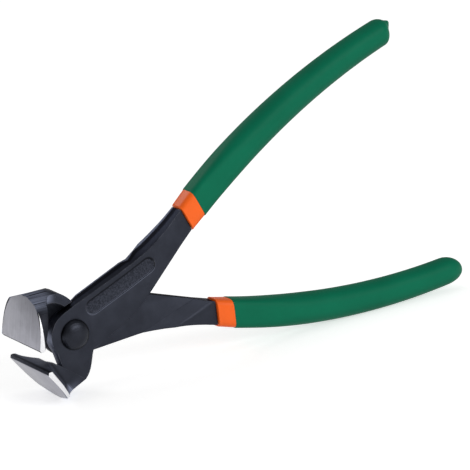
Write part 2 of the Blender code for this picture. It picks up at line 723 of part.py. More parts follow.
def main():
    for obj in list(bpy.data.objects):
        bpy.data.objects.remove(obj)
    scene = bpy.context.scene
    tool = bpy.data.collections.new("end_cutting_nippers")
    cutters = bpy.data.collections.new("cutters")
    scene.collection.children.link(tool)
    scene.collection.children.link(cutters)

    steel = material("black_oxide_steel", BLACK_OXIDE)
    rivet_steel = material("rivet_steel", RIVET_BLACK)
    green = material("green_vinyl", GREEN_VINYL)
    orange = material("orange_vinyl", ORANGE_VINYL)

    base = empty("rivet_axis", tool)
    front_axis = empty("front_lever_axis", tool, base)
    rear_axis = empty("rear_lever_axis", tool, base)
    half_turn = Matrix.Rotation(math.pi, 4, "X")

    front_lever = lever_mesh("front_lever", tool, cutters)
    rear_lever = new_object("rear_lever", front_lever.data.copy(), tool)
    add_panel(front_lever, cutters)
    upper_cuff = cuff_mesh("upper_cuff", tool, cutters)
    lower_cuff = new_object("lower_cuff", upper_cuff.data.copy(), tool)
    upper_grip = grip_mesh("upper_grip", tool, cutters)
    lower_grip = new_object("lower_grip", upper_grip.data.copy(), tool)
    pivot_rivet = rivet(tool)

    front_pieces = [(front_lever, steel), (upper_cuff, orange), (upper_grip, green), (pivot_rivet, rivet_steel)]
    rear_pieces = [(rear_lever, steel), (lower_cuff, orange), (lower_grip, green)]
    for obj, mat in rear_pieces:
        obj.data.transform(half_turn)
        obj.parent = rear_axis
        give(obj, mat)
    for obj, mat in front_pieces:
        obj.parent = front_axis
        give(obj, mat)
    front_axis.rotation_euler = (0.0, -math.radians(OPEN_ANGLE), 0.0)
    rear_axis.rotation_euler = (0.0, math.radians(OPEN_ANGLE), 0.0)

    pieces = [obj for obj, _ in front_pieces + rear_pieces]
    tilt = stand(base, front_lever, lower_grip, pieces)
    for cutter in cutters.objects:
        as_cutter(cutter)
        cutter.hide_viewport = False
    print("tilt", round(tilt, 3), "rivet axis", [round(v, 5) for v in base.location])


main()
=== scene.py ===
"""End cutting nippers dressed for a picture: two forged levers, a domed rivet, dipped grips and cuffs.

Sleeves are drawn, and finishes placed, in a lever's closed frame: the rivet's axis is the origin's Y axis,
the cutting edge lies on -X, the handle runs to +X and the jaw hangs below Z = 0. lever_matrix turns that
frame to where the lever stands. Lengths are in metres, angles in degrees.
"""
import json
import math
from contextlib import contextmanager

import bmesh
import bpy
from bpy.props import FloatProperty, FloatVectorProperty, IntProperty, PointerProperty
from mathutils import Matrix, Vector


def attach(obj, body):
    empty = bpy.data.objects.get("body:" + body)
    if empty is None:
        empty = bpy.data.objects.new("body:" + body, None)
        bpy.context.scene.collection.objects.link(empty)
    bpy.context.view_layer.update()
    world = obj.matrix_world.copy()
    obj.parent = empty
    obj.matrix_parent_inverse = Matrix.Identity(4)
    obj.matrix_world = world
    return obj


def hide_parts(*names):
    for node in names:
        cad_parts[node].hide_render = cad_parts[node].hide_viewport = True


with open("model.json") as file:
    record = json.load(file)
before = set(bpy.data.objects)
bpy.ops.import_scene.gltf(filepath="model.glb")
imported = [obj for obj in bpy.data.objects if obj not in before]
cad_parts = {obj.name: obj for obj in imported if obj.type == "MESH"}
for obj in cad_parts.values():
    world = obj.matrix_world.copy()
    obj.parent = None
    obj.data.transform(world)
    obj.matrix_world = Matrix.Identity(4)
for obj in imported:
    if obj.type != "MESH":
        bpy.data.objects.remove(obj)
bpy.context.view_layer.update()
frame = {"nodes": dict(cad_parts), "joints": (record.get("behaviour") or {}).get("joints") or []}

bl_info = {
    "name": "End cutting nippers",
    "version": (1, 0, 0),
    "blender": (4, 5, 0),
    "location": "3D View > Sidebar > Nippers",
    "description": "Builds the visible pieces, finishes and studio of a pair of end cutting nippers",
    "category": "Object",
}

# How far each lever is turned from closed, as the tool stands
PIVOT = Vector(frame["joints"][0]["pos_m"])
FRONT_TURN = 24.77
REAR_TURN = -0.03

# Sizes shared with the solids
EDGE_REACH = 0.0209
BLADE_WIDTH = 0.0323
BEVEL_ANGLE = 78.8
PLATE_HALF = 0.0050
HANDLE_HALF = 0.0035
PANEL_START = (0.0121, 0.0044)
PANEL_END = (0.0398, 0.0030)
PANEL_RADIUS = 0.0031
BOW_RADIUS = 0.2800
CREST_X = 0.1400
CREST_Z = 0.0181
CUFF_START = 0.0633
CUFF_END = 0.0703
SWELL_END = 0.1040
HANDLE_REACH = 0.1786
MOUTH_HALF_WIDTH = 0.0055
MOUTH_HALF_THICKNESS = 0.0046
COLLAR_HALF_WIDTH = 0.0059
COLLAR_HALF_THICKNESS = 0.0050
MOUTH_POWER = 4.2
GRIP_POWER = 2.3

# The front lever's top, which leans outwards towards its back
BACK_EDGE_RISE = 0.0015
RISE_START = 0.0080
RISE_START_RUN = 0.003
JOINT_END = 0.0360
JOINT_END_RUN = 0.004
RISE_PAST_JOINT = 0.33
RISE_END = 0.0600
RISE_END_RUN = 0.010
RISE_ABOVE_Z = 0.006
RISE_BEHIND_Y = -0.0015
TOP_TILT = 0.5

# How the sloped shoulder is told and shaded, and which edges are hard
SHOULDER_TILT = (0.560, 0.715)
SHOULDER_FALL = -0.5
SHOULDER_REACH = (0.004, 0.066)
SHOULDER_OWN_SHADE = 0.05
HARD_EDGE_ANGLE = 24.0
LEVER_SHARP_ANGLE = 35.0
SLEEVE_SHARP_ANGLE = 50.0
FLAT_ANGLE = 1.0
WELD_GAP = 0.000002

# Ends of the sleeves
GRIP_RIM = 0.0004
GRIP_TIP_LENGTH = 0.0082
GRIP_TIP_SHIFT = 0.0012
UPPER_TIP_LENGTH = 0.0046
UPPER_TIP_SHIFT = 0.0020
LOWER_TIP_SETBACK = 0.0003
UPPER_TIP_EXTRA = 0.0001
CUFF_RIM = 0.0003
CUFF_OVERLAP = 0.0009
CUFF_TIP_LENGTH = 0.0002
CUFF_TIP_INSET = 0.04
CUFF_HALF_WIDTH = 0.0057
CUFF_HALF_THICKNESS = 0.0048
CUFF_SWELL_END = CUFF_END + 0.0008
CUFF_STATIONS = 24
CUFF_EXTRA_GLOSS = 0.14

# Blade and facets
BLADE_OUTLINE_HEIGHT = 0.0192
BLADE_OUTLINE_POWER = 2.3
BLADE_OUTLINE_EDGE = (1.03, 0.99)
BLADE_RAGGED = 0.10
GROUND_SKIN = (0.00016, 0.00008)
FACET_EDGE = (0.00008, -0.00008)
FACET_WIDTH = 0.0024
FACET_LENGTH = 0.0150
FACET_LOSS = {"front": 0.45, "rear": 1.0}
# Painted shade on the front lever's ground steel, the rear's left as it is
GROUND_PAINTED_SHADE = {"front": 0.86, "rear": 1.0}

# Where the zones of a forging's finish and of its painted light and shade begin and are full, in its closed
# frame
CROWN_Z = (-0.0135, -0.0165)
CROWN_X = (-0.006, -0.012)
JAW_INSIDE_Z = (-0.0150, -0.0125)
JAW_BACK_X = (0.002, -0.004)
NECK_X = (-0.0180, -0.0155)
THROAT_X = (-0.0192, -0.0182)
CHEEK_Z = (-0.0180, -0.0155)
CHEEK_Y = (0.0100, 0.0120)
RIM_X = (0.004, 0.008)
RIM_Z = (-0.002, -0.004)
SHOULDER_X = (0.002, 0.005)
SHOULDER_Y = (-0.0012, -0.0004)
FULL_HANDLE_X = (0.034, 0.041)
TRIM_X = (-0.004, 0.002)
FRONT_SIDE_Y = (-0.0015, -0.0030)
GLANCE_X = (0.000, -0.006)

# The trimmed rim's painted highlight line and painted shade band, as shares of half the steel's thickness
LINE_START = (0.62, 0.80)
BAND_START = (-0.25, 0.0)
BAND_END = (0.72, 0.58)

# How squarely a face looks sideways where a zone begins and is full
FACET_SIDEWAYS = (0.35, 0.60)
TRIM_SIDEWAYS = (0.80, 0.60)
JAW_SIDEWAYS = (0.85, 0.60)
RIM_SIDEWAYS = (0.995, 0.95)
PANEL_FACING = (-0.80, -0.95)

# The panel's floor and rim, whose lit side is found by moving the outline a little
PANEL_FLOOR = (PANEL_RADIUS + 0.0001, PANEL_RADIUS - 0.0004)
LIT_RING = (0.00042, 0.00012)
HIDDEN_RING = (0.0006, 0.0003)
HIDDEN_RADIUS = PANEL_RADIUS - 0.0003
OUTLINE_SHIFT = (0.00008, 0.00018)
OUTLINE_SHIFT_LENGTH = 0.0002
LIT_LEAN = (-0.25, -0.80)
HIDDEN_LEAN = (0.10, 0.70)

# How strongly a zone changes the colour and, in a tint, how many times as bright as the oxide it becomes;
# the crown, throat, rim line and lit panel rim get painted highlights, the rim band and hidden panel rim
# painted shade
CROWN_HIGHLIGHT = (0.85, 11.0)
THROAT_PAINTED_LIGHT = (1.0, 6.5)
RIM_LINE_HIGHLIGHT = (0.7, 7.0)
RIM_BAND_SHADE = (0.85, 0.25)
LIT_TINT = (0.75, 3.2)
HIDDEN_TINT = (0.85, 0.20)
PANEL_STRENGTH = 0.8
DEEP_STRENGTH = 0.60

# How far two normals agree where an edge is worn and where the shoulder slopes, and where wear breaks up
WORN_BEND = (0.995, 0.90)
SHOULDER_BEND = (0.86, 0.72)
WORN_PATCHES = (0.25, 0.70)

# Fixed values of the finishes
DEEP_SHADE = (0.004, 0.004, 0.005, 1.0)
WORN_STEEL = (0.17, 0.175, 0.20, 1.0)
# Painted light that brightens the sloped shoulder, which its bent shading normals leave too dark
SHOULDER_PAINTED_LIGHT = (1.38, 1.38, 1.38, 1.0)
HANDLE_GLANCE = (0.30, 0.30, 0.34, 1.0)
JAW_GLANCE = (0.62, 0.62, 0.66, 1.0)
WHITE = (1.0, 1.0, 1.0, 1.0)
RIVET_ROUGHNESS = 0.36

# The photograph's camera
CAMERA_PLACE = (-0.7173, -1.321, 0.4796)
CAMERA_FORWARD = (0.4572, 0.8448, -0.2779)
CAMERA_UP = (0.2255, 0.1922, 0.9551)
CAMERA_LENS = 306.38
CAMERA_SENSOR = 36.0
FLOOR_REACH = 6.0


def lever_matrix(side):
    """Closed frame to world for the front or the rear lever."""
    if side == "front":
        turn = Matrix.Rotation(-math.radians(FRONT_TURN), 4, "Y")
    else:
        turn = Matrix.Rotation(-math.radians(REAR_TURN), 4, "Y") @ Matrix.Rotation(math.pi, 4, "X")
    return Matrix.Translation(PIVOT) @ turn


# Sizes and colours that a user would change

class NipperSteel(bpy.types.PropertyGroup):
    oxide_colour: FloatVectorProperty(
        name="Oxide colour", description="Black oxide on the forged faces", subtype="COLOR",
        size=3, min=0.0, max=1.0, default=(0.030, 0.033, 0.044))
    ground_colour: FloatVectorProperty(
        name="Ground colour", description="Bare steel of the ground fronts", subtype="COLOR",
        size=3, min=0.0, max=1.0, default=(0.37, 0.37, 0.415))
    # Facets: the same bare steel as the ground fronts, made brighter as a painted highlight
    facet_highlight_colour: FloatVectorProperty(
        name="Facet colour", description="Bare steel of the small facets at the blade's ends",
        subtype="COLOR", size=3, min=0.0, max=1.0, default=(0.76, 0.76, 0.78))
    oxide_roughness: FloatProperty(
        name="Oxide roughness", description="Roughness of the black oxide", default=0.44, min=0.0, max=1.0)
    ground_roughness: FloatProperty(
        name="Ground roughness", description="Roughness of the ground faces", default=0.42, min=0.0, max=1.0)
    edge_round: FloatProperty(
        name="Edge rounding", description="Radius worn onto the forging's edges", unit="LENGTH",
        default=0.0003, min=0.0, max=0.001)
    wear: FloatProperty(
        name="Edge wear", description="How far the oxide has gone from the edges", default=0.60,
        min=0.0, max=1.0)


class NipperGrip(bpy.types.PropertyGroup):
    grip_colour: FloatVectorProperty(
        name="Grip colour", description="Dipped vinyl of the grips", subtype="COLOR",
        size=3, min=0.0, max=1.0, default=(0.0018, 0.140, 0.072))
    cuff_colour: FloatVectorProperty(
        name="Cuff colour", description="Dipped vinyl of the cuffs", subtype="COLOR",
        size=3, min=0.0, max=1.0, default=(0.93, 0.135, 0.014))
    roughness: FloatProperty(
        name="Roughness", description="Roughness of the vinyl", default=0.46, min=0.0, max=1.0)
    grip_shine: FloatProperty(
        name="Grip shine", description="Strength of the grips' reflections", default=0.07, min=0.0, max=1.0)
    cuff_shine: FloatProperty(
        name="Cuff shine", description="Strength of the cuffs' reflections", default=0.14, min=0.0, max=1.0)
    grip_half_width: FloatProperty(
        name="Grip half width", description="Half the grip's height in the hand", unit="LENGTH",
        default=0.00640, min=0.004, max=0.009)
    tip_half_width: FloatProperty(
        name="Tip half width", description="Half the grip's height where its end begins to round",
        unit="LENGTH", default=0.0054, min=0.003, max=0.009)
    flatness: FloatProperty(
        name="Flatness", description="Grip thickness over grip height", default=0.95, min=0.5, max=1.0)
    nub: FloatProperty(
        name="Drip nub", description="Length of the hardened drop on the upper grip's end", unit="LENGTH",
        default=0.0016, min=0.0, max=0.004)
    points_around: IntProperty(
        name="Points around", description="Corners in each ring of a sleeve", default=72, min=12, max=200)
    stations: IntProperty(
        name="Stations", description="Rings along the straight part of a grip", default=110, min=8, max=400)


class NipperStudio(bpy.types.PropertyGroup):
    floor_colour: FloatVectorProperty(
        name="Floor colour", description="Plain floor under the tool", subtype="COLOR",
        size=3, min=0.0, max=1.0, default=(0.92, 0.92, 0.92))
    floor_glow: FloatProperty(
        name="Floor glow", description="Light given off by the floor, which thins the shadow", default=0.56,
        min=0.0)
    key_power: FloatProperty(
        name="Key light", description="Power of the large light in front of the tool", unit="POWER",
        default=11.0, min=0.0)
    side_power: FloatProperty(
        name="Side light", description="Power of the light beside the blades", unit="POWER",
        default=1.6, min=0.0)
    top_power: FloatProperty(
        name="Top light", description="Power of the light above the tool", unit="POWER",
        default=1.2, min=0.0)
    rim_power: FloatProperty(
        name="Rim light", description="Power of the light behind the tool, on the far side of the blades",
        unit="POWER", default=4.0, min=0.0)
    sky_strength: FloatProperty(
        name="Surround", description="Strength of the white surround", default=0.32, min=0.0)


# Small helpers for node trees

def plug(tree, value, socket):
    """Link a socket, or set a plain number or vector."""
    if isinstance(value, bpy.types.NodeSocket):
        tree.links.new(value, socket)
    else:
        socket.default_value = value


def new_node(tree, kind, settings=(), **inputs):
    """A node with its properties and named inputs set."""
    node = tree.nodes.new(kind)
    for key, value in dict(settings).items():
        setattr(node, key, value)
    for key, value in inputs.items():
        plug(tree, value, node.inputs[key.replace("_", " ")])
    return node


def operation_node(tree, kind, operation, values):
    """A node for one operation, with its inputs set in their order."""
    node = new_node(tree, kind, {"operation": operation})
    for socket, value in zip(node.inputs, values):
        plug(tree, value, socket)
    return node


def math_node(tree, operation, *values):
    """A Math node's output, from numbers or sockets."""
    return operation_node(tree, "ShaderNodeMath", operation, values).outputs[0]


def vector_math(tree, operation, *values):
    """A Vector Math node, from vectors or sockets."""
    return operation_node(tree, "ShaderNodeVectorMath", operation, values)


def noise(tree, vector, scale, detail, roughness=0.5):
    """Noise from 0 to 1."""
    node = new_node(tree, "ShaderNodeTexNoise", Vector=vector, Scale=scale, Detail=detail,
                    Roughness=roughness)
    return node.outputs["Fac"]


def varied(tree, pattern, middle, spread):
    """A number that varies about its middle with a pattern from 0 to 1."""
    return math_node(tree, "MULTIPLY_ADD", pattern, spread, middle - spread / 2)


def add_bump(tree, shader, height, strength, distance):
    """Make the shader's surface uneven by a height."""
    bump = new_node(tree, "ShaderNodeBump", Strength=strength, Distance=distance, Height=height)
    tree.links.new(bump.outputs["Normal"], shader.inputs["Normal"])


def ramp_between(tree, value, low, high):
    """0 below low, 1 above high, smooth between; low may be the larger, which turns it round."""
    turned = low > high
    node = new_node(tree, "ShaderNodeMapRange", {"interpolation_type": "SMOOTHSTEP"}, Value=value,
                    From_Min=min(low, high), From_Max=max(low, high), To_Min=float(turned),
                    To_Max=float(not turned))
    return node.outputs["Result"]


def product(tree, first, *others):
    """All the given masks or numbers multiplied."""
    for other in others:
        first = math_node(tree, "MULTIPLY", first, other)
    return first


def greatest(tree, first, *others):
    """The largest of the given masks at each place."""
    for other in others:
        first = math_node(tree, "MAXIMUM", first, other)
    return first


def zone(tree, split, **bounds):
    """Mask of the places where each named coordinate lies in its bounds or past them."""
    return product(tree, *[ramp_between(tree, split.outputs[axis], *pair) for axis, pair in bounds.items()])


def away_from(tree, value, level):
    """How far a value lies from a level, on either side."""
    return math_node(tree, "ABSOLUTE", math_node(tree, "SUBTRACT", value, level))


def shade_of(colour, factor):
    """A colour made lighter or darker, with its alpha."""
    return (*[min(1.0, part * factor) for part in colour], 1.0)


def mix_colour(tree, factor, first, second, blend="MIX"):
    """Two colours mixed by a factor; returns the mixed colour's socket."""
    node = new_node(tree, "ShaderNodeMix", {"data_type": "RGBA", "blend_type": blend}, Factor=factor)
    plug(tree, first, node.inputs[6])
    plug(tree, second, node.inputs[7])
    return node.outputs[2]


def clouded(tree, colour, share, low, high):
    """A colour between a darker and a lighter shade of itself."""
    return mix_colour(tree, share, shade_of(colour, low), shade_of(colour, high))


def mix_value(tree, factor, first, second):
    """Two numbers mixed by a factor; returns the mixed number's socket."""
    node = new_node(tree, "ShaderNodeMix", {"data_type": "FLOAT"}, Factor=factor)
    plug(tree, first, node.inputs[2])
    plug(tree, second, node.inputs[3])
    return node.outputs[0]


def shader_group(name, inputs, outputs):
    """A node group and its two end nodes; both are None where the group is already built."""
    if name in bpy.data.node_groups:
        return bpy.data.node_groups[name], None, None
    group = bpy.data.node_groups.new(name, "ShaderNodeTree")
    for label, kind, default in inputs:
        socket = group.interface.new_socket(label, in_out="INPUT", socket_type=kind)
        if default is not None:
            socket.default_value = default
    for label, kind in outputs:
        group.interface.new_socket(label, in_out="OUTPUT", socket_type=kind)
    return group, group.nodes.new("NodeGroupInput"), group.nodes.new("NodeGroupOutput")


def place_group(tree, group, **inputs):
    """A node that holds the group, with its named inputs set."""
    return new_node(tree, "ShaderNodeGroup", {"node_tree": group}, **inputs)


# Shared effects

def grinding_marks():
    """Fine straight marks that run one way, with a few coarser ones among them."""
    group, given, out = shader_group(
        "grinding_marks",
        [("Vector", "NodeSocketVector", None), ("Length", "NodeSocketFloat", 120.0),
         ("Fineness", "NodeSocketFloat", 13000.0)],
        [("Marks", "NodeSocketFloat"), ("Streaks", "NodeSocketFloat")])
    if given is None:
        return group
    spread = new_node(group, "ShaderNodeCombineXYZ", X=given.outputs["Length"], Y=given.outputs["Fineness"],
                      Z=given.outputs["Length"])
    scaled = vector_math(group, "MULTIPLY", given.outputs["Vector"], spread.outputs[0]).outputs[0]
    group.links.new(noise(group, scaled, scale=1.0, detail=3.0, roughness=0.7), out.inputs["Marks"])
    group.links.new(noise(group, scaled, scale=0.22, detail=2.0), out.inputs["Streaks"])
    return group


def worn_edges():
    """How much a place lies on an outer edge, broken up by noise."""
    group, given, out = shader_group(
        "worn_edges",
        [("Vector", "NodeSocketVector", None), ("Radius", "NodeSocketFloat", 0.0006),
         ("Amount", "NodeSocketFloat", 0.5)],
        [("Wear", "NodeSocketFloat")])
    if given is None:
        return group
    soft = new_node(group, "ShaderNodeBevel", {"samples": 6}, Radius=given.outputs["Radius"])
    sharp = group.nodes.new("ShaderNodeNewGeometry")
    both = vector_math(group, "DOT_PRODUCT", soft.outputs[0], sharp.outputs["Normal"])
    bent = ramp_between(group, both.outputs["Value"], *WORN_BEND)
    patches = noise(group, given.outputs["Vector"], scale=300.0, detail=4.0, roughness=0.6)
    broken = ramp_between(group, patches, *WORN_PATCHES)
    group.links.new(product(group, bent, broken, given.outputs["Amount"]), out.inputs["Wear"])
    return group


def mottling():
    """Cloudy variation and a fine forged or dipped texture."""
    group, given, out = shader_group(
        "mottling",
        [("Vector", "NodeSocketVector", None), ("Cloud Scale", "NodeSocketFloat", 90.0),
         ("Grain Scale", "NodeSocketFloat", 2600.0)],
        [("Clouds", "NodeSocketFloat"), ("Grain", "NodeSocketFloat")])
    if given is None:
        return group
    vector = given.outputs["Vector"]
    clouds = noise(group, vector, given.outputs["Cloud Scale"], detail=5.0, roughness=0.55)
    grain = noise(group, vector, given.outputs["Grain Scale"], detail=2.0, roughness=0.6)
    group.links.new(clouds, out.inputs["Clouds"])
    group.links.new(grain, out.inputs["Grain"])
    return group


# Finishes

def fresh_material(name):
    """A new node material, its tree and its shader."""
    mat = bpy.data.materials.new(name)
    mat.use_nodes = True
    tree = mat.node_tree
    shader = tree.nodes["Principled BSDF"]
    return mat, tree, shader


def closed_frame(tree, side):
    """The texture coordinates, and the object ones turned into a lever's closed frame."""
    back = lever_matrix(side).inverted()
    coordinates = tree.nodes.new("ShaderNodeTexCoord")
    mapping = tree.nodes.new("ShaderNodeMapping")
    mapping.vector_type = "POINT"
    mapping.inputs["Location"].default_value = back.to_translation()
    mapping.inputs["Rotation"].default_value = back.to_euler("XYZ")
    tree.links.new(coordinates.outputs["Object"], mapping.inputs["Vector"])
    return coordinates, mapping.outputs["Vector"]


def distance_to_plane(tree, vector, point, normal):
    """Signed distance along normal from a plane through point."""
    along = vector_math(tree, "DOT_PRODUCT", vector, normal).outputs["Value"]
    return math_node(tree, "SUBTRACT", along, point.dot(normal))


def capsule_distance(tree, place, start, end):
    """Distance in the XZ plane from the stretch between two points (x, z)."""
    flat = vector_math(tree, "MULTIPLY_ADD", place, (1.0, 0.0, 1.0), (-start[0], 0.0, -start[1])).outputs[0]
    run = Vector((end[0] - start[0], 0.0, end[1] - start[1]))
    along = vector_math(tree, "DOT_PRODUCT", flat, run / run.length_squared).outputs["Value"]
    share = math_node(tree, "MINIMUM", math_node(tree, "MAXIMUM", along, 0.0), 1.0)
    foot = vector_math(tree, "SCALE", run)
    plug(tree, share, foot.inputs["Scale"])
    return vector_math(tree, "DISTANCE", flat, foot.outputs[0]).outputs["Value"]


def blade_masks(tree, place, split, sideways, facet_loss):
    """Masks of the ground front and of the facets at the blade's two ends, which narrow by facet_loss."""
    lean = math.radians(BEVEL_ANGLE)
    front_normal = Vector((-math.sin(lean), 0.0, -math.cos(lean)))
    edge = Vector((-EDGE_REACH, 0.0, 0.0))
    behind = product(tree, distance_to_plane(tree, place, edge, front_normal), -1.0)
    depth = product(tree, split.outputs["Z"], -1.0)
    across = math_node(tree, "DIVIDE", math_node(tree, "ABSOLUTE", split.outputs["Y"]), BLADE_WIDTH / 2)
    up = math_node(tree, "DIVIDE", math_node(tree, "MAXIMUM", depth, 0.0), BLADE_OUTLINE_HEIGHT)
    wide = math_node(tree, "POWER", across, BLADE_OUTLINE_POWER)
    high = math_node(tree, "POWER", up, BLADE_OUTLINE_POWER)
    ragged = varied(tree, noise(tree, place, scale=420.0, detail=2.0), middle=0.0, spread=BLADE_RAGGED)
    reach = math_node(tree, "ADD", ragged, math_node(tree, "ADD", wide, high))
    front = product(tree, ramp_between(tree, behind, *GROUND_SKIN),
                    ramp_between(tree, reach, *BLADE_OUTLINE_EDGE))
    loss = product(tree, math_node(tree, "DIVIDE", depth, FACET_LENGTH), facet_loss)
    width = product(tree, math_node(tree, "SUBTRACT", 1.0, loss), FACET_WIDTH)
    past_facet = math_node(tree, "SUBTRACT", behind, width)
    facet = product(tree, ramp_between(tree, past_facet, *FACET_EDGE),
                    ramp_between(tree, sideways, *FACET_SIDEWAYS))
    return front, facet


def trimmed_rim(tree, split, sideways):
    """Masks of the painted highlight along the inner edge of the trimmed rim, and of the band beside it, a
    shallow groove in the bump darkened by painted shade.
    """
    full = zone(tree, split, X=FULL_HANDLE_X)
    middle = mix_value(tree, full, -PLATE_HALF / 2, 0.0)
    half = mix_value(tree, full, PLATE_HALF / 2, HANDLE_HALF)
    off = math_node(tree, "DIVIDE", math_node(tree, "SUBTRACT", split.outputs["Y"], middle), half)
    rim = product(tree, ramp_between(tree, sideways, *TRIM_SIDEWAYS), zone(tree, split, X=TRIM_X))
    line = ramp_between(tree, off, *LINE_START)
    band = product(tree, ramp_between(tree, off, *BAND_START), ramp_between(tree, off, *BAND_END))
    return product(tree, line, rim), product(tree, band, rim)


def jaw_inside(tree, split, sideways, edge_zone):
    """Mask of the jaw's inner side, from edge_zone back to the joint."""
    return product(tree, zone(tree, split, X=edge_zone), zone(tree, split, X=JAW_BACK_X, Z=JAW_INSIDE_Z),
                   ramp_between(tree, sideways, *JAW_SIDEWAYS))


def sheltered_zones(tree, side, split, sideways):
    """Masks of the places that no wear reaches and of those that lie in deep shade."""
    rim = zone(tree, split, X=RIM_X, Z=RIM_Z)
    sheltered = [rim, zone(tree, split, X=SHOULDER_X, Y=SHOULDER_Y)]
    deep = [product(tree, rim, ramp_between(tree, sideways, *RIM_SIDEWAYS))]
    if side == "rear":
        across = math_node(tree, "ABSOLUTE", split.outputs["Y"])
        cheek = product(tree, zone(tree, split, Z=CHEEK_Z), ramp_between(tree, across, *CHEEK_Y))
        neck = greatest(tree, jaw_inside(tree, split, sideways, NECK_X), cheek)
        sheltered.append(neck)
        deep.append(neck)
    return greatest(tree, *sheltered), greatest(tree, *deep)


def panel_masks(tree, place, split, facing):
    """Masks of the front panel's floor, of its lit rim and of its rim in shade."""
    gap = capsule_distance(tree, place, PANEL_START, PANEL_END)
    floor = product(tree, ramp_between(tree, gap, *PANEL_FLOOR), ramp_between(tree, facing, *PANEL_FACING))
    ends = [[part + by for part, by in zip(end, OUTLINE_SHIFT)] for end in (PANEL_START, PANEL_END)]
    change = math_node(tree, "SUBTRACT", gap, capsule_distance(tree, place, *ends))
    lean = math_node(tree, "DIVIDE", change, OUTLINE_SHIFT_LENGTH)
    front_side = zone(tree, split, Y=FRONT_SIDE_Y)
    ring = ramp_between(tree, away_from(tree, gap, PANEL_RADIUS), *LIT_RING)
    inner = ramp_between(tree, away_from(tree, gap, HIDDEN_RADIUS), *HIDDEN_RING)
    lit = product(tree, ring, front_side, ramp_between(tree, lean, *LIT_LEAN))
    hidden = product(tree, inner, front_side, ramp_between(tree, lean, *HIDDEN_LEAN))
    return floor, lit, hidden


def shoulder_tilt(tree):
    """Mask of the sloped shoulder, where the shading normal is far from the face's own."""
    surface = tree.nodes.new("ShaderNodeNewGeometry").outputs
    tilt = vector_math(tree, "DOT_PRODUCT", surface["Normal"], surface["True Normal"])
    return ramp_between(tree, tilt.outputs["Value"], *SHOULDER_BEND)


def ground_steel(tree, side, look, streaks, clouds, facet):
    """Colour of the bare ground steel, with a painted highlight on the facets and painted shade on the front
    lever's ground.
    """
    tone = GROUND_PAINTED_SHADE[side]
    cloudy = product(tree, ramp_between(tree, clouds, 0.3, 0.7), 0.55)
    streak = math_node(tree, "MULTIPLY_ADD", ramp_between(tree, streaks, 0.25, 0.75), 0.45, cloudy)
    bare = clouded(tree, look.ground_colour, streak, low=tone * 0.82, high=tone * 1.18)
    return mix_colour(tree, facet, bare, (*look.facet_highlight_colour, 1.0))


def steel_surface(tree, shader, look, ground, clouds, grain, band, marks):
    """Roughness and bump of the oxide and of the ground faces."""
    oxide_rough = varied(tree, clouds, look.oxide_roughness, spread=0.16)
    ground_rough = varied(tree, marks, look.ground_roughness, spread=0.16)
    plug(tree, mix_value(tree, ground, oxide_rough, ground_rough), shader.inputs["Roughness"])
    lumps = math_node(tree, "ADD", product(tree, clouds, 0.9), product(tree, grain, 0.5))
    oxide_height = math_node(tree, "SUBTRACT", lumps, product(tree, band, 1.5))
    height = mix_value(tree, ground, oxide_height, product(tree, marks, 0.16))
    add_bump(tree, shader, height, strength=0.35, distance=0.00006)


